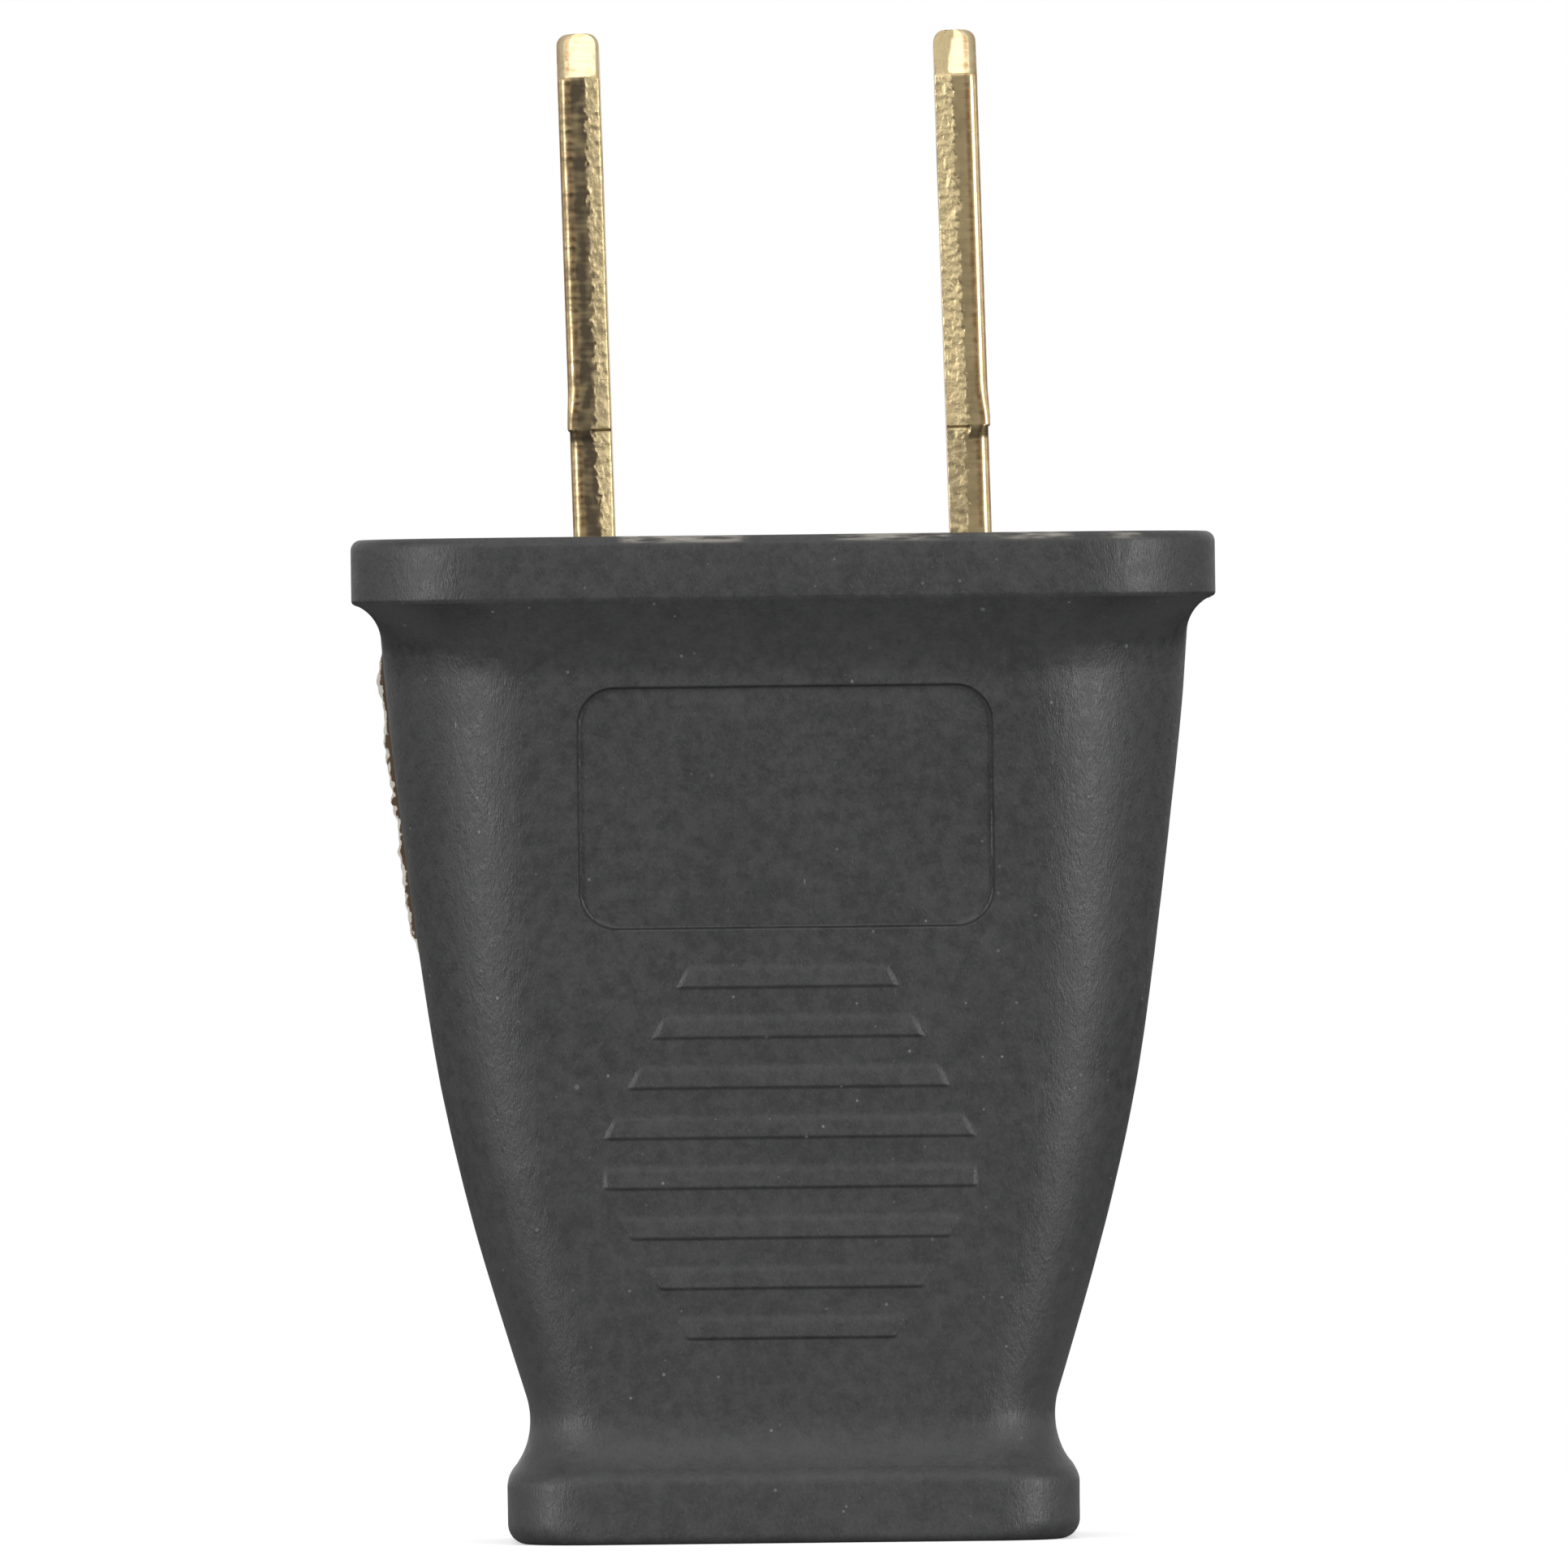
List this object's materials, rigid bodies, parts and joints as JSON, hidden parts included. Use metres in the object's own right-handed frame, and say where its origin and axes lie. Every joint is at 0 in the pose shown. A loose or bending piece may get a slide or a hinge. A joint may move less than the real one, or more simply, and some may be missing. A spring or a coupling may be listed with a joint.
{
  "type": "straight blade plug",
  "caption": "Rewireable mains plug with flat parallel stamped blades, a flanged face, a tapering grip with ridges and a panel, and a cord hole at the narrow end.",
  "frame": {"origin": "centre of the flat cord end, on which the plug stands", "axes": "+Z along the blades, away from the cord; +X across the two blades; -Y towards the front with the panel seen in the picture"},
  "size_m": [0.029, 0.0164, 0.0508],
  "materials": {
    "vinyl_black": "soft dull vinyl with a fine wrinkle",
    "insert_black": "dull hard moulding",
    "blade_brass": "rolled strip with sheared edges",
    "screw_brass": "turned"
  },
  "bodies": {
    "root": {"housing": "vinyl_black", "face_plate": "insert_black", "terminal_block": "insert_black", "blade_left": "blade_brass", "blade_right": "blade_brass", "terminal_screw_left": "screw_brass", "terminal_screw_right": "screw_brass"}
  },
  "joints": []
}
